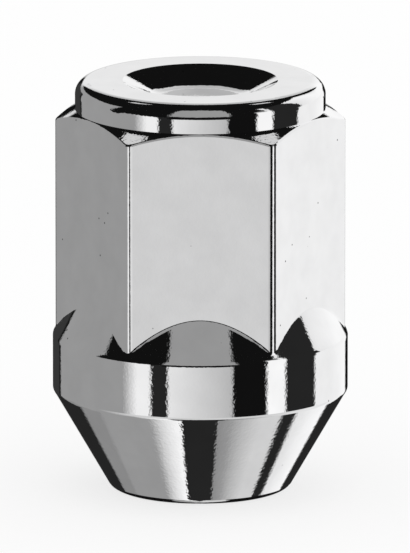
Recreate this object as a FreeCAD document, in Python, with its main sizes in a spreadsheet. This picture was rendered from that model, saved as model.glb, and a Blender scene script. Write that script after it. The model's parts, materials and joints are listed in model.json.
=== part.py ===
"""Acorn lug nut: conical seat, round skirt, hexagon, and a collar with a dished, closed end, in one forging.

The nut stands on its small end. Z is the thread's axis and points from the seat to the dished end, the
origin is in the plane of the small end, and two of the hexagon's flats face +Y and -Y.
Lengths are in millimetres, angles in degrees.
"""

import FreeCAD
import Part
import Sketcher

import math
import os
from enum import IntEnum, auto
from typing import NamedTuple

PART_LABEL = "lug_nut"
SHEET = "dimensions"
HEX_SIDES = 6
FULL_TURN = 360

# Driving dimensions: alias, value, what it measures.
DIMENSIONS = [
    ("across_flats", 21.0, "wrench size of the hexagon"),
    ("corner_round", 0.85, "radius on the hexagon's upright edges"),
    ("overall_length", 34.4, "small end to rim"),
    ("thread_diameter", 12.0, "bore, at the major diameter of the thread"),
    ("mouth_chamfer", 0.4, "radial width of the chamfer at the bore's mouth"),
    ("mouth_chamfer_angle", 90.0, "included angle of that chamfer"),
    ("drill_point_angle", 118.0, "included angle of the bore's blind end"),
    ("end_wall", 3.0, "metal between the drill point and the dish"),
    ("small_end_land", 0.45, "flat ring round the bore's mouth"),
    ("small_end_round", 0.95, "radius between the small end and the seat"),
    ("seat_angle", 60.0, "included angle of the conical seat"),
    ("seat_edge_round", 0.5, "radius between the seat and the skirt"),
    ("skirt_step", 0.12, "skirt's wall outside the hexagon's sharp corners"),
    ("skirt_height", 4.6, "seat to shoulder"),
    ("shoulder_round", 0.8, "radius between the skirt and the shoulder"),
    ("shoulder_angle", 28.0, "slope of the shoulder from the axis"),
    ("hex_foot_round", 0.5, "hollow radius where the hexagon meets the shoulder"),
    ("chamfer_angle", 30.0, "slope of the hexagon's top chamfer from level"),
    ("chamfer_round", 0.2, "radius between the flats and that chamfer"),
    ("collar_inset", 0.12, "collar's wall inside the hexagon's flats"),
    ("collar_height", 2.35, "chamfer to rim"),
    ("collar_round", 1.15, "radius between the collar's wall and the rim"),
    ("rim_width", 2.8, "flat ring between the collar's radius and the dish"),
    ("dish_slope", 26.0, "slope of the dish's wall from level"),
    ("dish_depth", 1.4, "rim to the dish's floor"),
    ("dish_floor_round", 2.8, "hollow radius between the dish's wall and its floor"),
]

# Sizes that follow from those, as expressions on the sheet. Radii and heights are from the origin.
CORNER_RADIUS = f"({SHEET}.across_flats / 2 / cos(180 deg / {HEX_SIDES}))"
SMALL_END_RADIUS = (
    f"({SHEET}.thread_diameter / 2 + {SHEET}.mouth_chamfer + {SHEET}.small_end_land"
    f" + {SHEET}.small_end_round * tan(45 deg - {SHEET}.seat_angle / 4 * 1 deg))"
)
SKIRT_RADIUS = f"({CORNER_RADIUS} + {SHEET}.skirt_step)"
SEAT_HEIGHT = f"(({SKIRT_RADIUS} - {SMALL_END_RADIUS}) / tan({SHEET}.seat_angle / 2 * 1 deg))"
HEX_ROOT_HEIGHT = f"({SEAT_HEIGHT} + {SHEET}.skirt_height / 2)"
SHOULDER_HEIGHT = f"({SEAT_HEIGHT} + {SHEET}.skirt_height)"
SHOULDER_TAPER = f"tan({SHEET}.shoulder_angle * 1 deg)"
COLLAR_RADIUS = f"({SHEET}.across_flats / 2 - {SHEET}.collar_inset)"
SHOULDER_END_HEIGHT = f"({SHOULDER_HEIGHT} + ({SKIRT_RADIUS} - {COLLAR_RADIUS}) / {SHOULDER_TAPER})"
COLLAR_FOOT_HEIGHT = f"({SHEET}.overall_length - {SHEET}.collar_height)"
CHAMFER_FALL = f"tan({SHEET}.chamfer_angle * 1 deg)"
# The chamfer starts inside the collar, which gives its edge radius room at the middle of each flat.
CHAMFER_TOP_RADIUS = f"({COLLAR_RADIUS} - 2 * {SHEET}.chamfer_round)"
CHAMFER_TOP_HEIGHT = f"({COLLAR_FOOT_HEIGHT} + ({COLLAR_RADIUS} - {CHAMFER_TOP_RADIUS}) * {CHAMFER_FALL})"
CHAMFER_FOOT_RADIUS = f"({CORNER_RADIUS} + {SHEET}.skirt_step)"
CHAMFER_FOOT_HEIGHT = f"({COLLAR_FOOT_HEIGHT} - ({CHAMFER_FOOT_RADIUS} - {COLLAR_RADIUS}) * {CHAMFER_FALL})"
RIM_HEIGHT = f"{SHEET}.overall_length"
DISH_MOUTH_RADIUS = f"({COLLAR_RADIUS} - {SHEET}.collar_round - {SHEET}.rim_width)"
DISH_FLOOR_RADIUS = f"({DISH_MOUTH_RADIUS} - {SHEET}.dish_depth / tan({SHEET}.dish_slope * 1 deg))"
DISH_FLOOR_HEIGHT = f"({RIM_HEIGHT} - {SHEET}.dish_depth)"
DRILL_POINT_HEIGHT = f"({SHEET}.thread_diameter / 2 / tan({SHEET}.drill_point_angle / 2 * 1 deg))"
BORE_DEPTH = f"({DISH_FLOOR_HEIGHT} - {SHEET}.end_wall - {DRILL_POINT_HEIGHT})"
MOUTH_DIAMETER = f"({SHEET}.thread_diameter + 2 * {SHEET}.mouth_chamfer)"
AXIS = "0"
BASE_PLANE = "0"

# An edge is found by this many points on it, and by how close each is to where the edge is looked for.
EDGE_SAMPLES = 5
EDGE_TOLERANCE = 0.001


class PointOf(IntEnum):
    """The sketcher's numbers for the points of a line or a circle, which start at one."""

    START = auto()
    END = auto()
    CENTRE = auto()


class AxisOf(IntEnum):
    """The sketcher's numbers for its two axes, which start at the origin."""

    LEVEL = -1
    UPRIGHT = -2


ORIGIN_POINT = (AxisOf.LEVEL, PointOf.START)


class Corner(NamedTuple):
    """A corner of a half section: its radius and height as expressions, and its rounding's alias if any."""

    radius: str
    height: str
    rounding: str = ""


def make_sheet(doc):
    """The spreadsheet with every driving dimension under its alias."""
    sheet = doc.addObject("Spreadsheet::Sheet", SHEET)
    for row, (alias, value, meaning) in enumerate(DIMENSIONS, start=1):
        sheet.set(f"A{row}", meaning)
        sheet.set(f"B{row}", str(value))
        sheet.setAlias(f"B{row}", alias)
    doc.recompute()
    return sheet


def size(doc, expression):
    """The plain number that an expression on the sheet gives."""
    result = doc.getObject(SHEET).evalExpression(expression)
    return float(getattr(result, "Value", result))


def new_sketch(body, name, plane_role):
    """An empty sketch on one of the body's own origin planes."""
    sketch = body.newObject("Sketcher::SketchObject", name)
    plane = next(item for item in body.Origin.OriginFeatures if item.Role == plane_role)
    sketch.AttachmentSupport = [(plane, "")]
    sketch.MapMode = "FlatFace"
    return sketch


def add_outline(sketch, points):
    """A closed chain of straight lines. Line number i starts at point number i."""
    corners = [FreeCAD.Vector(x, y, 0) for x, y in points]
    lines = [
        sketch.addGeometry(Part.LineSegment(corner, following), False)
        for corner, following in zip(corners, corners[1:] + corners[:1])
    ]
    for line, following in zip(lines, lines[1:] + lines[:1]):
        sketch.addConstraint(Sketcher.Constraint("Coincident", line, PointOf.END, following, PointOf.START))
    return lines


def bind(sketch, expression, kind, *place):
    """A dimension of the sketch that takes its value from the sheet."""
    number = sketch.addConstraint(Sketcher.Constraint(kind, *place, size(sketch.Document, expression)))
    sketch.setExpression(f"Constraints[{number}]", expression)


def half_section(body, name, corners):
    """A half section beside the Z axis, with rounded corners.

    A corner that shares its radius or height with the one before it gets an upright or level line
    in place of a second dimension, so each size is dimensioned once.
    """
    doc = body.Document
    sketch = new_sketch(body, name, "XZ_Plane")
    points = [(size(doc, corner.radius), size(doc, corner.height)) for corner in corners]
    lines = add_outline(sketch, points)
    for index, corner in enumerate(corners):
        start = (lines[index], PointOf.START)
        before = corners[index - 1]
        if corner.radius == AXIS:
            sketch.addConstraint(Sketcher.Constraint("PointOnObject", *start, AxisOf.UPRIGHT))
        elif corner.radius == before.radius and index:
            sketch.addConstraint(Sketcher.Constraint("Vertical", lines[index - 1]))
        else:
            bind(sketch, corner.radius, "DistanceX", *ORIGIN_POINT, *start)
        if corner.height == BASE_PLANE:
            sketch.addConstraint(Sketcher.Constraint("PointOnObject", *start, AxisOf.LEVEL))
        elif corner.height == before.height and index:
            sketch.addConstraint(Sketcher.Constraint("Horizontal", lines[index - 1]))
        else:
            bind(sketch, corner.height, "DistanceY", *ORIGIN_POINT, *start)
    for line, corner in zip(lines, corners):
        if corner.rounding:
            round_corner(sketch, line, f"{SHEET}.{corner.rounding}")
    return sketch


def round_corner(sketch, line, expression):
    """An arc at a line's start. The sharp corner stays as a point of the sketch, with its dimensions."""
    arc = sketch.GeometryCount
    trim = True
    keep_corner = True
    sketch.fillet(line, PointOf.START, size(sketch.Document, expression), trim, keep_corner)
    bind(sketch, expression, "Radius", arc)


def revolve(body, kind, name, profile):
    """A full turn of a half section about the Z axis."""
    feature = body.newObject(kind, name)
    feature.Profile = profile
    feature.ReferenceAxis = (profile, ["V_Axis"])
    feature.Angle = FULL_TURN
    body.Document.recompute()
    return feature


def edges_where(shape, matches):
    """The names of the edges whose every sampled point, as radius and height, is a match."""
    names = []
    for number, edge in enumerate(shape.Edges, start=1):
        points = edge.discretize(Number=EDGE_SAMPLES)
        if all(matches(math.hypot(point.x, point.y), point.z) for point in points):
            names.append(f"Edge{number}")
    return names


def round_edges(body, name, radius_alias, matches):
    """A rolled radius along the matching edges of the body as it is so far."""
    base = body.Tip
    names = edges_where(base.Shape, matches)
    if not names:
        raise RuntimeError(f"{name}: no edge found")
    fillet = body.newObject("PartDesign::Fillet", name)
    fillet.Base = (base, names)
    fillet.setExpression("Radius", f"{SHEET}.{radius_alias}")
    body.Document.recompute()


def hexagon_sketch(body):
    """A regular hexagon with a corner on +X, measured across its flats."""
    doc = body.Document
    sketch = new_sketch(body, "hexagon", "XY_Plane")
    sketch.setExpression("AttachmentOffset.Base.z", HEX_ROOT_HEIGHT)
    radius = size(doc, CORNER_RADIUS)
    turns = [2 * math.pi * corner / HEX_SIDES for corner in range(HEX_SIDES)]
    sides = add_outline(sketch, [(radius * math.cos(turn), radius * math.sin(turn)) for turn in turns])
    through_corners = Part.Circle(FreeCAD.Vector(0, 0, 0), FreeCAD.Vector(0, 0, 1), radius)
    corner_circle = sketch.addGeometry(through_corners, True)
    sketch.addConstraint(Sketcher.Constraint("Coincident", corner_circle, PointOf.CENTRE, *ORIGIN_POINT))
    for side in sides:
        sketch.addConstraint(Sketcher.Constraint("PointOnObject", side, PointOf.START, corner_circle))
    for side in sides[1:]:
        sketch.addConstraint(Sketcher.Constraint("Equal", sides[0], side))
    sketch.addConstraint(Sketcher.Constraint("PointOnObject", sides[0], PointOf.START, AxisOf.LEVEL))
    bind(sketch, f"{SHEET}.across_flats / 2", "Distance", *ORIGIN_POINT, sides[0])
    return sketch


def add_hexagon(body):
    """The wrench hexagon, with rounded upright edges and a turned chamfer round its top."""
    doc = body.Document
    prism = body.newObject("PartDesign::Pad", "hexagon_prism")
    prism.Profile = hexagon_sketch(body)
    prism.setExpression("Length", f"{CHAMFER_TOP_HEIGHT} - {HEX_ROOT_HEIGHT}")
    body.Tip = prism
    doc.recompute()

    corner = size(doc, CORNER_RADIUS)
    round_edges(body, "corner_rounds", "corner_round", lambda r, z: abs(r - corner) < EDGE_TOLERANCE)

    chamfer_section = half_section(
        body,
        "chamfer_section",
        [
            Corner(CHAMFER_TOP_RADIUS, CHAMFER_TOP_HEIGHT),
            Corner(CHAMFER_FOOT_RADIUS, CHAMFER_FOOT_HEIGHT),
            Corner(CHAMFER_FOOT_RADIUS, CHAMFER_TOP_HEIGHT),
        ],
    )
    revolve(body, "PartDesign::Groove", "top_chamfer", chamfer_section)

    top_radius = size(doc, CHAMFER_TOP_RADIUS)
    top_height = size(doc, CHAMFER_TOP_HEIGHT)
    fall = size(doc, CHAMFER_FALL)

    def on_chamfer_edge(r, z):
        on_cone = abs(top_height - (r - top_radius) * fall - z) < EDGE_TOLERANCE
        return on_cone and z < top_height - EDGE_TOLERANCE

    round_edges(body, "chamfer_rounds", "chamfer_round", on_chamfer_edge)


def add_turned_form(body):
    """The round parts: seat, skirt and shoulder below the hexagon, collar and dish above it."""
    doc = body.Document
    section = half_section(
        body,
        "turned_section",
        [
            Corner(AXIS, BASE_PLANE),
            Corner(SMALL_END_RADIUS, BASE_PLANE, "small_end_round"),
            Corner(SKIRT_RADIUS, SEAT_HEIGHT, "seat_edge_round"),
            Corner(SKIRT_RADIUS, SHOULDER_HEIGHT, "shoulder_round"),
            Corner(COLLAR_RADIUS, SHOULDER_END_HEIGHT),
            Corner(COLLAR_RADIUS, RIM_HEIGHT, "collar_round"),
            Corner(DISH_MOUTH_RADIUS, RIM_HEIGHT),
            Corner(DISH_FLOOR_RADIUS, DISH_FLOOR_HEIGHT, "dish_floor_round"),
            Corner(AXIS, DISH_FLOOR_HEIGHT),
        ],
    )
    revolve(body, "PartDesign::Revolution", "turned_form", section)

    shoulder_radius = size(doc, SKIRT_RADIUS)
    shoulder_height = size(doc, SHOULDER_HEIGHT)
    taper = size(doc, SHOULDER_TAPER)
    corner_radius = size(doc, CORNER_RADIUS)

    def on_hex_foot(r, z):
        on_cone = abs(shoulder_radius - (z - shoulder_height) * taper - r) < EDGE_TOLERANCE
        return on_cone and r < corner_radius

    round_edges(body, "hex_foot_rounds", "hex_foot_round", on_hex_foot)


def bore_thread_hole(body):
    """The blind bore for the wheel stud, with a chamfered mouth and a drill point."""
    doc = body.Document
    sketch = new_sketch(body, "bore_circle", "XY_Plane")
    radius = size(doc, f"{SHEET}.thread_diameter / 2")
    outline = Part.Circle(FreeCAD.Vector(0, 0, 0), FreeCAD.Vector(0, 0, 1), radius)
    circle = sketch.addGeometry(outline, False)
    sketch.addConstraint(Sketcher.Constraint("Coincident", circle, PointOf.CENTRE, *ORIGIN_POINT))
    bind(sketch, f"{SHEET}.thread_diameter", "Diameter", circle)
    doc.recompute()

    bore = body.newObject("PartDesign::Hole", "stud_bore")
    bore.Profile = sketch
    doc.recompute()
    bore.ThreadType = "None"
    bore.Reversed = True
    bore.DepthType = "Dimension"
    bore.DrillPoint = "Angled"
    bore.DrillForDepth = False
    bore.HoleCutType = "Countersink"
    bore.HoleCutCustomValues = True
    bore.setExpression("Diameter", f"{SHEET}.thread_diameter")
    bore.setExpression("Depth", BORE_DEPTH)
    bore.setExpression("DrillPointAngle", f"{SHEET}.drill_point_angle")
    bore.setExpression("HoleCutDiameter", MOUTH_DIAMETER)
    bore.setExpression("HoleCutCountersinkAngle", f"{SHEET}.mouth_chamfer_angle")
    doc.recompute()


def check(doc, body):
    """Stops unless every object was made, every cut took metal away and the nut is one sound solid."""
    for item in doc.Objects:
        if {"Invalid", "Error"} & set(item.State):
            raise RuntimeError(f"{item.Name} failed: {item.State}")
    for cut_name in ("top_chamfer", "stud_bore"):
        cut = doc.getObject(cut_name)
        if cut.Shape.Volume >= cut.BaseFeature.Shape.Volume:
            raise RuntimeError(f"{cut_name} took nothing away")
    shape = body.Shape
    if shape.isNull() or not shape.isValid() or len(shape.Solids) != 1:
        raise RuntimeError(f"{body.Label} is not one valid solid")


def main():
    doc = FreeCAD.newDocument("acorn_lug_nut")
    make_sheet(doc)
    body = doc.addObject("PartDesign::Body", PART_LABEL)
    body.Label = PART_LABEL
    add_hexagon(body)
    add_turned_form(body)
    bore_thread_hole(body)
    doc.recompute()
    check(doc, body)
    os.makedirs("parts", exist_ok=True)
    body.Shape.exportStep(f"parts/{body.Label}.step")
    box = body.Shape.optimalBoundingBox()
    print(f"{body.Label}: {box.XLength:.2f} x {box.YLength:.2f} x {box.ZLength:.2f} mm")
    print(f"volume {body.Shape.Volume:.1f} mm3, bore depth {size(doc, BORE_DEPTH):.2f} mm")


main()
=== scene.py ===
"""Acorn lug nut: bright chrome finish, the thread inside the bore, and a white product studio.

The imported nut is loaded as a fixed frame. Metres; Z is the thread's axis, and the small end stands on Z = 0.
"""

import json
import math

import bmesh
import bpy
from bpy.props import FloatProperty, FloatVectorProperty, IntProperty, PointerProperty
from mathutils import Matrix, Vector


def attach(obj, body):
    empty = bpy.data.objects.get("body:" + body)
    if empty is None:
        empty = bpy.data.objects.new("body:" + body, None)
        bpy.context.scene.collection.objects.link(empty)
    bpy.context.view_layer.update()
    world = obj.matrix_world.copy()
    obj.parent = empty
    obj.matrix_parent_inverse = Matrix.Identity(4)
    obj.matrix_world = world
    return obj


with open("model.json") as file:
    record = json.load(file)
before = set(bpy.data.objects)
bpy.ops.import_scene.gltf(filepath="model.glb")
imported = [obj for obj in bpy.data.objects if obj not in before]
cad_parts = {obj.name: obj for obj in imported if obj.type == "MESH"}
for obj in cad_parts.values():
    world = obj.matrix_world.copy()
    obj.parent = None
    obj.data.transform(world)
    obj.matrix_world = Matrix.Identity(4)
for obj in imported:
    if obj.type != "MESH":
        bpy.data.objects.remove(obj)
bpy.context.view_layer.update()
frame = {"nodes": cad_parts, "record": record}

bl_info = {
    "name": "Acorn Lug Nut",
    "version": (1, 0, 0),
    "blender": (4, 5, 0),
    "location": "View3D > Sidebar > Lug Nut",
    "description": "Chrome finish, stud thread and studio for a closed-end wheel nut",
    "category": "Object",
}

NUT = "lug_nut"
THREAD = "stud_thread"
BODY = "root"
MM = 0.001

RECORD = frame["record"]
STUD_MOUNT = next(mount for mount in RECORD["mounts"] if mount["name"] == THREAD)
BORE_RADIUS = STUD_MOUNT["dims"]["r_mm"] * MM


class ThreadSizes(bpy.types.PropertyGroup):
    """Sizes of the stud thread."""

    pitch: FloatProperty(
        name="Pitch",
        description="Advance of the thread in one turn",
        default=1.5 * MM,
        unit="LENGTH",
        precision=5,
    )
    depth: FloatProperty(
        name="Depth",
        description="Height of the ridge above the bore's wall",
        default=0.81 * MM,
        unit="LENGTH",
        precision=5,
    )
    root_width: FloatProperty(
        name="Root width",
        description="Width of the ridge at the bore's wall",
        default=1.31 * MM,
        unit="LENGTH",
        precision=5,
    )
    crest_width: FloatProperty(
        name="Crest width",
        description="Width of the ridge at its crest",
        default=0.375 * MM,
        unit="LENGTH",
        precision=5,
    )
    start: FloatProperty(
        name="Start",
        description="Height of the ridge's first end above the small end",
        default=1.1 * MM,
        unit="LENGTH",
        precision=5,
    )
    turns: IntProperty(
        name="Turns",
        description="Turns of thread",
        default=15,
        min=1,
    )
    lead: FloatProperty(
        name="Lead",
        description="Part of a turn over which the ridge rises from the wall at each end",
        default=0.6,
        min=0.01,
        max=1.0,
    )
    steps: IntProperty(
        name="Steps",
        description="Segments in one turn",
        default=64,
        min=12,
    )


class ChromeFinish(bpy.types.PropertyGroup):
    """Look of the plating."""

    colour: FloatVectorProperty(
        name="Colour",
        description="Reflected colour of the chrome",
        subtype="COLOR",
        size=3,
        default=(0.90, 0.90, 0.905),
        min=0.0,
        max=1.0,
    )
    roughness: FloatProperty(
        name="Roughness",
        description="Blur of the reflections",
        subtype="FACTOR",
        default=0.012,
        min=0.0,
        max=1.0,
    )
    ripple_size: FloatProperty(
        name="Ripple size",
        description="Size of the fine ripple left in the plating by the forged steel under it",
        default=0.26 * MM,
        unit="LENGTH",
        precision=5,
    )
    ripple_height: FloatProperty(
        name="Ripple height",
        description="Height of the fine ripple",
        default=0.004 * MM,
        unit="LENGTH",
        precision=6,
    )
    grain_size: FloatProperty(
        name="Grain size",
        description="Size of the finest grain in the plating",
        default=0.15 * MM,
        unit="LENGTH",
        precision=5,
    )
    grain_height: FloatProperty(
        name="Grain height",
        description="Height of the finest grain",
        default=0.001 * MM,
        unit="LENGTH",
        precision=6,
    )
    cloud_size: FloatProperty(
        name="Cloud size",
        description="Size of the faint patches of haze and tone in the plating",
        default=2.5 * MM,
        unit="LENGTH",
        precision=5,
    )
    pinhole_size: FloatProperty(
        name="Pinhole size",
        description="Width of the few pinholes in the plating",
        default=0.2 * MM,
        unit="LENGTH",
        precision=5,
    )
    pinhole_spacing: FloatProperty(
        name="Pinhole spacing",
        description="Spacing of the cells that hold one pinhole each, most of them inside the metal",
        default=2.0 * MM,
        unit="LENGTH",
        precision=5,
    )


class StudioSettings(bpy.types.PropertyGroup):
    """Camera and background of the product picture."""

    elevation: FloatProperty(
        name="Elevation",
        description="Angle of the camera above level",
        default=math.radians(12.8),
        subtype="ANGLE",
    )
    distance: FloatProperty(
        name="Distance",
        description="Camera to nut",
        default=1.5,
        unit="LENGTH",
    )
    frame_height: FloatProperty(
        name="Frame height",
        description="Height of the picture at the nut",
        default=45.84 * MM,
        unit="LENGTH",
        precision=5,
    )
    target: FloatVectorProperty(
        name="Target",
        description="Point at the middle of the picture",
        subtype="XYZ",
        size=3,
        default=(0.39 * MM, 0.0, 17.72 * MM),
        precision=5,
    )
    floor_size: FloatProperty(
        name="Floor size",
        description="Width of the floor",
        default=4.0,
        unit="LENGTH",
    )


def new_material(name):
    """An empty node material with its output node."""
    material = bpy.data.materials.new(name)
    material.use_nodes = True
    tree = material.node_tree
    tree.nodes.clear()
    output = tree.nodes.new("ShaderNodeOutputMaterial")
    return material, tree, output


def math_node(tree, operation, *inputs):
    """A Math node; each input is a number or an output socket. Returns its result socket."""
    node = tree.nodes.new("ShaderNodeMath")
    node.operation = operation
    for socket, value in zip(node.inputs, inputs):
        if isinstance(value, bpy.types.NodeSocket):
            tree.links.new(value, socket)
        else:
            socket.default_value = value
    return node.outputs["Value"]


NOISE_ROUGHNESS = 0.6


def noise_node(tree, place, feature_size, detail):
    """Noise of a feature size in object space."""
    noise = tree.nodes.new("ShaderNodeTexNoise")
    noise.inputs["Scale"].default_value = 1.0 / feature_size
    noise.inputs["Detail"].default_value = detail
    noise.inputs["Roughness"].default_value = NOISE_ROUGHNESS
    tree.links.new(place, noise.inputs["Vector"])
    return noise.outputs["Fac"]


def range_node(tree, value, low, high, to_low=0.0, to_high=1.0):
    """A value mapped from one range to another, and kept inside it."""
    node = tree.nodes.new("ShaderNodeMapRange")
    node.inputs["From Min"].default_value = low
    node.inputs["From Max"].default_value = high
    node.inputs["To Min"].default_value = to_low
    node.inputs["To Max"].default_value = to_high
    tree.links.new(value, node.inputs["Value"])
    return node.outputs["Result"]


# Places of the Mix node's colour sockets, whose names its other sockets share.
MIX_FIRST, MIX_SECOND, MIX_RESULT = 6, 7, 2


def mix_colour(tree, factor, first, second):
    """A colour mix by a factor; each colour is an output socket or three channels."""
    node = tree.nodes.new("ShaderNodeMix")
    node.data_type = "RGBA"
    tree.links.new(factor, node.inputs["Factor"])
    for place, colour in ((MIX_FIRST, first), (MIX_SECOND, second)):
        if isinstance(colour, bpy.types.NodeSocket):
            tree.links.new(colour, node.inputs[place])
        else:
            node.inputs[place].default_value = (*colour, 1.0)
    return node.outputs[MIX_RESULT]


def grey(level):
    """A grey as three channels."""
    return (level, level, level)


# Shares of the chrome's colour and roughness in its hazy patches, and of its roughness in its clear ones.
HAZY_TONE = 0.94
HAZY_ROUGHNESS = 1.5
CLEAR_ROUGHNESS = 0.6
# Noise levels between which the haze fades.
HAZE_FADE = (0.3, 0.7)
CLOUD_DETAIL = 2.0
RIPPLE_DETAIL = 1.0
GRAIN_DETAIL = 0.0
PINHOLE_GREY = 0.10


def chrome_material(finish):
    """Bright plating with a fine ripple that frays the edges of its reflections, and a few pinholes."""
    material, tree, output = new_material("bright_chrome")
    links = tree.links
    shader = tree.nodes.new("ShaderNodeBsdfPrincipled")
    shader.inputs["Metallic"].default_value = 1.0
    place = tree.nodes.new("ShaderNodeTexCoord").outputs["Object"]

    pores = tree.nodes.new("ShaderNodeTexVoronoi")
    pores.inputs["Scale"].default_value = 1.0 / finish.pinhole_spacing
    links.new(place, pores.inputs["Vector"])
    pinhole = finish.pinhole_size / 2 / finish.pinhole_spacing
    metal = range_node(tree, pores.outputs["Distance"], pinhole / 2, pinhole)

    cloud = noise_node(tree, place, finish.cloud_size, CLOUD_DETAIL)
    hazy = [HAZY_TONE * channel for channel in finish.colour]
    tone = mix_colour(tree, range_node(tree, cloud, *HAZE_FADE), hazy, finish.colour)
    links.new(mix_colour(tree, metal, grey(PINHOLE_GREY), tone), shader.inputs["Base Color"])
    most_blur = HAZY_ROUGHNESS * finish.roughness
    least_blur = CLEAR_ROUGHNESS * finish.roughness
    haze = range_node(tree, cloud, *HAZE_FADE, most_blur, least_blur)
    links.new(haze, shader.inputs["Roughness"])

    ripple = noise_node(tree, place, finish.ripple_size, RIPPLE_DETAIL)
    grain = noise_node(tree, place, finish.grain_size, GRAIN_DETAIL)
    relief = math_node(tree, "MULTIPLY", grain, finish.grain_height / finish.ripple_height)
    relief = math_node(tree, "MULTIPLY", math_node(tree, "ADD", ripple, relief), metal)
    bump = tree.nodes.new("ShaderNodeBump")
    bump.inputs["Strength"].default_value = 1.0
    bump.inputs["Distance"].default_value = finish.ripple_height
    links.new(relief, bump.inputs["Height"])
    links.new(bump.outputs["Normal"], shader.inputs["Normal"])
    links.new(shader.outputs["BSDF"], output.inputs["Surface"])
    return material


def finish_piece(name, mesh, material):
    """A piece at the origin, riding on the nut, with its finish."""
    piece = bpy.data.objects.new(name, mesh)
    bpy.context.scene.collection.objects.link(piece)
    mesh.materials.append(material)
    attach(piece, BODY)


def shared_chrome(context):
    """The nut's chrome, made once."""
    material = bpy.data.materials.get("bright_chrome")
    return material or chrome_material(context.scene.lug_nut_chrome)


class LUGNUT_OT_plate_nut(bpy.types.Operator):
    """Plate the forged nut with bright chrome"""

    bl_idname = "lug_nut.plate_nut"
    bl_label = "Plate Nut"

    def execute(self, context):
        nut = frame["nodes"][NUT]
        nut.data.materials[0] = shared_chrome(context)
        return {"FINISHED"}


# Depth by which the ridge is sunk into the bore's wall.
OVERLAP = 0.02 * MM
# Share of the ridge's height that is left at its very ends.
LEAST_RISE = 0.05
# Edges of the ridge that turn by more than this stay sharp.
SHARP_ANGLE = math.radians(30.0)
# Direction in which the ridge's faces are put in order; no two of them are level in it.
ORDER_AXIS = Vector((0.13, 0.29, 1.0))


def taper_ends(shape, sizes, wall, crest):
    """Lower the crest of a wound ridge to the wall at both of its ends."""
    for vert in shape.verts:
        if math.hypot(vert.co.x, vert.co.y) > (wall + crest) / 2:
            continue
        part_turn = math.atan2(vert.co.y, vert.co.x) / math.tau
        turn = part_turn + round((vert.co.z - sizes.start) / sizes.pitch - part_turn)
        from_end = min(turn, sizes.turns - turn)
        rise = min(1.0, max(LEAST_RISE, from_end / sizes.lead))
        vert.co.xy *= (wall - (wall - crest) * rise) / crest


class LUGNUT_OT_cut_thread(bpy.types.Operator):
    """Wind the ridge of the stud thread round the wall of the bore"""

    bl_idname = "lug_nut.cut_thread"
    bl_label = "Cut Thread"

    def execute(self, context):
        sizes = context.scene.lug_nut_thread
        shape = bmesh.new()
        wall = BORE_RADIUS + OVERLAP
        crest = BORE_RADIUS - sizes.depth
        half_root = sizes.root_width / 2
        half_crest = sizes.crest_width / 2
        section = [(wall, -half_root), (crest, -half_crest), (crest, half_crest), (wall, half_root)]
        corners = [shape.verts.new((radius, 0.0, sizes.start + height)) for radius, height in section]
        profile = shape.faces.new(corners)
        bmesh.ops.spin(
            shape,
            geom=[profile, *profile.edges, *profile.verts],
            cent=(0.0, 0.0, 0.0),
            axis=(0.0, 0.0, 1.0),
            dvec=(0.0, 0.0, sizes.pitch / sizes.steps),
            angle=math.tau * sizes.turns,
            steps=sizes.steps * sizes.turns,
            use_merge=False,
            use_normal_flip=False,
            use_duplicate=False,
        )
        taper_ends(shape, sizes, wall, crest)
        bmesh.ops.recalc_face_normals(shape, faces=shape.faces)
        # The spin leaves the faces in an order that changes from run to run.
        shape.faces.sort(key=lambda face: face.calc_center_median().dot(ORDER_AXIS))
        mesh = bpy.data.meshes.new(THREAD)
        shape.to_mesh(mesh)
        shape.free()
        mesh.shade_smooth()
        mesh.set_sharp_from_angle(angle=SHARP_ANGLE)
        finish_piece(THREAD, mesh, shared_chrome(context))
        return {"FINISHED"}


# Grey levels in the studio that the chrome sees.
BLACK, SOOT, DARK, DIM, GREY, HALF = 0.006, 0.02, 0.04, 0.28, 0.34, 0.52
LIGHT, PALE, BRIGHT, WHITE = 0.70, 0.88, 0.96, 1.05
# Bands of the studio's rings, from the lowest ring up: degrees to the camera's right, and grey level.
UNDER_BANDS = [
    (-180, LIGHT), (-120, GREY), (-74, GREY), (-62, LIGHT), (-52, PALE), (-38, WHITE), (-33, WHITE),
    (-31, SOOT), (28, SOOT), (30, DIM), (47, GREY), (64, HALF), (84, LIGHT), (102, LIGHT),
    (180, LIGHT),
]
LOW_BANDS = [
    (-180, SOOT), (-138.5, SOOT), (-137.5, DIM), (-121, DIM), (-119, GREY), (-74, GREY),
    (-62, LIGHT), (-52, PALE), (-38, WHITE), (-33, WHITE), (-31, SOOT), (28, SOOT), (30, DIM),
    (47, GREY), (64, HALF), (84, LIGHT), (102, LIGHT), (104, SOOT), (115, SOOT), (117, LIGHT),
    (122, PALE), (130, BRIGHT), (145, WHITE), (146.5, SOOT), (180, SOOT),
]
MIDDLE_BANDS = [
    (-180, LIGHT), (-175, LIGHT), (-173, SOOT), (-138.5, SOOT), (-137.5, DIM), (-121, DIM),
    (-119, GREY), (-90, GREY), (-60, LIGHT), (60, LIGHT), (102, PALE), (122, PALE), (130, BRIGHT),
    (145, WHITE), (146.5, SOOT), (173, SOOT), (175, LIGHT), (180, LIGHT),
]
LEVEL_BANDS = [
    (-180, LIGHT), (-175, LIGHT), (-173, BLACK), (-168, BLACK), (-166, DARK), (-146, DARK),
    (-144, BLACK), (-142, BLACK), (-141, GREY), (-63, GREY), (-56, LIGHT), (-51, BRIGHT),
    (-40, BRIGHT), (-38, SOOT), (-26, SOOT), (-25, PALE), (0, LIGHT), (25, HALF), (26, BLACK),
    (53, BLACK), (54, WHITE), (70, WHITE), (71, SOOT), (101, SOOT), (102, BRIGHT), (124, BRIGHT),
    (157, WHITE), (158, BLACK), (173, BLACK), (175, LIGHT), (180, LIGHT),
]
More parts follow.
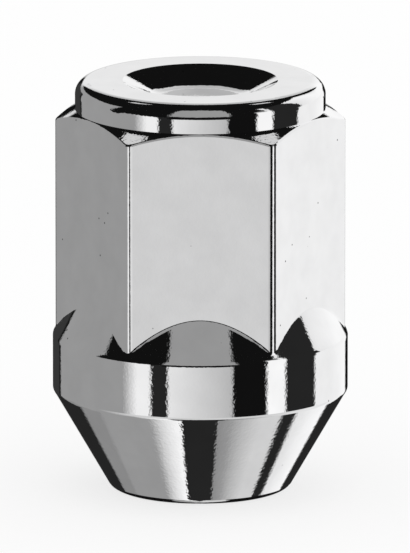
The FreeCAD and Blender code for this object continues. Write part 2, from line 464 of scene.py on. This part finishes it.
HIGH_BANDS = [
    (-180, PALE), (-168, PALE), (-160, GREY), (-87.5, GREY), (-86.5, BLACK), (-30, BLACK),
    (-28, GREY), (28, GREY), (30, BLACK), (53, BLACK), (55, WHITE), (70, WHITE), (71, SOOT),
    (106, SOOT), (107, PALE), (140, WHITE), (165, WHITE), (180, PALE),
]
UPPER_BANDS = [
    (-180, HALF), (-166, HALF), (-160, GREY), (-87.5, GREY), (-86.5, BLACK), (-30, BLACK),
    (-28, GREY), (28, GREY), (30, BLACK), (65, BLACK), (67, PALE), (70, PALE), (72, SOOT),
    (106, SOOT), (107, PALE), (140, WHITE), (165, LIGHT), (180, HALF),
]
# Strength of the dark line at the horizon, and of the two windows in the roof, by direction.
HORIZON_BANDS = [(-180, 0), (-31, 0), (-29, 1), (29, 1), (31, 0), (180, 0)]
WINDOW_BANDS = [
    (-180, 0), (-148.3, 0), (-147.5, 1), (-136, 1), (-134, 0), (134, 0), (136, 1), (147.5, 1),
    (148.3, 0), (180, 0),
]
# Height in degrees, by direction, at which the lower walls end and at which the black roof starts.
WALL_TOPS = [
    (-180, 4), (-168, 9.5), (-138, 9.5), (-130, 3), (-90, 3), (-84, 0), (-38, 0), (-30, 3),
    (150, 3), (158, 1.5), (180, 2),
]
ROOF_EDGES = [
    (-180, 46), (-169, 44), (-165, 14), (-157, 16), (-150, 19), (-140, 22), (-128, 26), (-112, 28),
    (-97, 30), (-88, 33), (-60, 45), (-32, 62), (0, 69), (32, 62), (60, 45), (120, 45), (132, 43),
    (148, 40), (152, 28), (158, 19), (163, 15), (167, 44), (180, 46),
]
# Depth in degrees below level, by direction, at which painted shadow starts: black that the chrome sees in
# place of the floor darkened by the nut's own shadow.
PAINTED_SHADOW_DEPTHS = [
    (-180, 46), (-172, 32), (-150, 34), (-137, 42), (-105, 59), (-60, 80), (60, 80), (105, 59),
    (137, 42), (150, 34), (172, 32), (180, 46),
]
# Heights in degrees between which one ring gives way to the next.
UNDER_TO_LOW = (-74.0, -72.0)
LOW_TO_MIDDLE = (-48.4, -47.4)
MIDDLE_TO_LEVEL = (-17.8, -16.8)
HIGH_TO_UPPER = (16.0, 26.0)
# Heights in degrees between which the dark line and the windows start, and between which they end.
HORIZON_FOOT = (-6.0, -5.0)
HORIZON_TOP = (8.0, 9.0)
WINDOW_FOOT = (53.0, 54.0)
WINDOW_TOP = (61.0, 62.0)
# Degrees below and above an edge over which it is blurred.
BLUR = (-0.6, 0.6)
RIGHT_ANGLE = 90
HALF_TURN = 180


def band_ramp(tree, turn, bands, scale=1.0):
    """Grey level by direction round the nut, with each level divided by a scale."""
    ramp = tree.nodes.new("ShaderNodeValToRGB")
    stops = ramp.color_ramp.elements
    for degrees, _ in bands[1:-1]:
        stops.new((degrees + HALF_TURN) / (2 * HALF_TURN))
    for stop, (_, level) in zip(stops, bands):
        stop.color = (*grey(level / scale), 1.0)
    tree.links.new(turn, ramp.inputs["Fac"])
    return ramp.outputs["Color"]


def height_ramp(tree, turn, bands):
    """A height in degrees by direction round the nut."""
    return math_node(tree, "MULTIPLY", band_ramp(tree, turn, bands, RIGHT_ANGLE), RIGHT_ANGLE)


def between(tree, height, foot, top):
    """1 from a foot to a top, both of them blurred, and 0 elsewhere."""
    above_foot = range_node(tree, height, *foot)
    below_top = range_node(tree, height, *top, 1.0, 0.0)
    return math_node(tree, "MULTIPLY", above_foot, below_top)


def studio_world():
    """A white tent: even light, white to the camera, and dark flags that only the chrome sees."""
    world = bpy.data.worlds.new("white_tent")
    bpy.context.scene.world = world
    world.use_nodes = True
    tree = world.node_tree
    tree.nodes.clear()
    output = tree.nodes.new("ShaderNodeOutputWorld")
    background = tree.nodes.new("ShaderNodeBackground")
    place = tree.nodes.new("ShaderNodeTexCoord")
    split = tree.nodes.new("ShaderNodeSeparateXYZ")
    tree.links.new(place.outputs["Generated"], split.inputs["Vector"])
    right, back, up = split.outputs
    towards_camera = math_node(tree, "MULTIPLY", back, -1.0)
    angle = math_node(tree, "ARCTAN2", right, towards_camera)
    turn = math_node(tree, "MULTIPLY_ADD", angle, 1 / math.tau, 0.5)
    height = math_node(tree, "MULTIPLY", math_node(tree, "ARCSINE", up), math.degrees(1.0))

    under = band_ramp(tree, turn, UNDER_BANDS)
    low = band_ramp(tree, turn, LOW_BANDS)
    middle = band_ramp(tree, turn, MIDDLE_BANDS)
    level = band_ramp(tree, turn, LEVEL_BANDS)
    high = band_ramp(tree, turn, HIGH_BANDS)
    upper = band_ramp(tree, turn, UPPER_BANDS)
    above_painted_shadow_edge = math_node(tree, "ADD", height, height_ramp(tree, turn, PAINTED_SHADOW_DEPTHS))
    above_walls = math_node(tree, "SUBTRACT", height, height_ramp(tree, turn, WALL_TOPS))
    above_roof_edge = math_node(tree, "SUBTRACT", height, height_ramp(tree, turn, ROOF_EDGES))
    black = grey(BLACK)
    seen = mix_colour(tree, range_node(tree, height, *LOW_TO_MIDDLE), low, middle)
    seen = mix_colour(tree, range_node(tree, height, *MIDDLE_TO_LEVEL), seen, level)
    # Painted shadow: below this depth the chrome sees black in place of the floor in the nut's shadow, down to
    # the lowest ring.
    seen = mix_colour(tree, range_node(tree, above_painted_shadow_edge, *BLUR), black, seen)
    seen = mix_colour(tree, range_node(tree, height, *UNDER_TO_LOW), under, seen)
    seen = mix_colour(tree, range_node(tree, above_walls, *BLUR), seen, high)
    seen = mix_colour(tree, range_node(tree, height, *HIGH_TO_UPPER), seen, upper)
    line = between(tree, height, HORIZON_FOOT, HORIZON_TOP)
    line = math_node(tree, "MULTIPLY", line, band_ramp(tree, turn, HORIZON_BANDS))
    seen = mix_colour(tree, line, seen, black)
    seen = mix_colour(tree, range_node(tree, above_roof_edge, *BLUR), seen, black)
    window = between(tree, height, WINDOW_FOOT, WINDOW_TOP)
    window = math_node(tree, "MULTIPLY", window, band_ramp(tree, turn, WINDOW_BANDS))
    seen = mix_colour(tree, window, seen, grey(LIGHT))

    path = tree.nodes.new("ShaderNodeLightPath")
    colour = mix_colour(tree, path.outputs["Is Glossy Ray"], grey(1.0), seen)
    tree.links.new(colour, background.inputs["Color"])
    tree.links.new(background.outputs["Background"], output.inputs["Surface"])


def mix_shader(tree, factor, first, second):
    """A mix of two shaders."""
    node = tree.nodes.new("ShaderNodeMixShader")
    for socket, source in zip(node.inputs, (factor, first, second)):
        tree.links.new(source, socket)
    return node.outputs["Shader"]


FLOOR_GREY = 0.97
# Share of plain white in what the camera sees of the floor.
FLOOR_GLOW = 0.7


def floor_material():
    """Pale paper, white to the camera apart from the nut's soft shadow, and clear from below."""
    material, tree, output = new_material("white_floor")
    paper = tree.nodes.new("ShaderNodeBsdfDiffuse")
    paper.inputs["Color"].default_value = (*grey(FLOOR_GREY), 1.0)
    glow = tree.nodes.new("ShaderNodeEmission")
    glow.inputs["Strength"].default_value = 1.0
    path = tree.nodes.new("ShaderNodeLightPath")
    share = math_node(tree, "MULTIPLY", path.outputs["Is Camera Ray"], FLOOR_GLOW)
    lit = mix_shader(tree, share, paper.outputs["BSDF"], glow.outputs["Emission"])
    side = tree.nodes.new("ShaderNodeNewGeometry")
    clear = tree.nodes.new("ShaderNodeBsdfTransparent")
    surface = mix_shader(tree, side.outputs["Backfacing"], lit, clear.outputs["BSDF"])
    tree.links.new(surface, output.inputs["Surface"])
    return material


def add_floor(size):
    """A plain pale floor under the nut."""
    shape = bmesh.new()
    bmesh.ops.create_grid(shape, x_segments=1, y_segments=1, size=size / 2)
    mesh = bpy.data.meshes.new("floor")
    shape.to_mesh(mesh)
    shape.free()
    mesh.materials.append(floor_material())
    floor = bpy.data.objects.new("floor", mesh)
    bpy.context.scene.collection.objects.link(floor)
    floor.visible_glossy = False


# Width of the camera's sensor in millimetres; it spans the picture's longer side, its height.
SENSOR_WIDTH = 36.0
NEAREST_SEEN = 0.01
FARTHEST_SEEN = 20.0


def add_camera(studio):
    """A long lens at the picture's angle."""
    data = bpy.data.cameras.new("camera")
    data.sensor_width = SENSOR_WIDTH
    data.lens = SENSOR_WIDTH * studio.distance / studio.frame_height
    data.clip_start = NEAREST_SEEN
    data.clip_end = FARTHEST_SEEN
    camera = bpy.data.objects.new("camera", data)
    bpy.context.scene.collection.objects.link(camera)
    away = Vector((0.0, -math.cos(studio.elevation), math.sin(studio.elevation)))
    camera.location = Vector(studio.target) + away * studio.distance
    camera.rotation_euler = away.to_track_quat("Z", "Y").to_euler()
    bpy.context.scene.camera = camera


class LUGNUT_OT_set_studio(bpy.types.Operator):
    """Set up the floor, the light and the camera"""

    bl_idname = "lug_nut.set_studio"
    bl_label = "Set Studio"

    def execute(self, context):
        studio = context.scene.lug_nut_studio
        studio_world()
        add_floor(studio.floor_size)
        add_camera(studio)
        context.scene.view_settings.view_transform = "Standard"
        return {"FINISHED"}


class LUGNUT_PT_panel(bpy.types.Panel):
    """Steps that dress the nut, and their sizes"""

    bl_idname = "LUGNUT_PT_panel"
    bl_label = "Lug Nut"
    bl_space_type = "VIEW_3D"
    bl_region_type = "UI"
    bl_category = "Lug Nut"

    def draw(self, context):
        layout = self.layout
        for operator in OPERATORS:
            layout.operator(operator.bl_idname)
        for group in SETTINGS:
            settings = getattr(context.scene, group)
            for name in settings.__annotations__:
                layout.prop(settings, name)


SETTINGS = {
    "lug_nut_thread": ThreadSizes,
    "lug_nut_chrome": ChromeFinish,
    "lug_nut_studio": StudioSettings,
}
OPERATORS = (LUGNUT_OT_plate_nut, LUGNUT_OT_cut_thread, LUGNUT_OT_set_studio)
CLASSES = (*SETTINGS.values(), *OPERATORS, LUGNUT_PT_panel)


def register():
    for cls in CLASSES:
        bpy.utils.register_class(cls)
    for name, cls in SETTINGS.items():
        setattr(bpy.types.Scene, name, PointerProperty(type=cls))


def unregister():
    for name in SETTINGS:
        delattr(bpy.types.Scene, name)
    for cls in reversed(CLASSES):
        bpy.utils.unregister_class(cls)


def main():
    register()
    bpy.ops.lug_nut.plate_nut()
    bpy.ops.lug_nut.cut_thread()
    bpy.ops.lug_nut.set_studio()


if __name__ == "__main__":
    main()
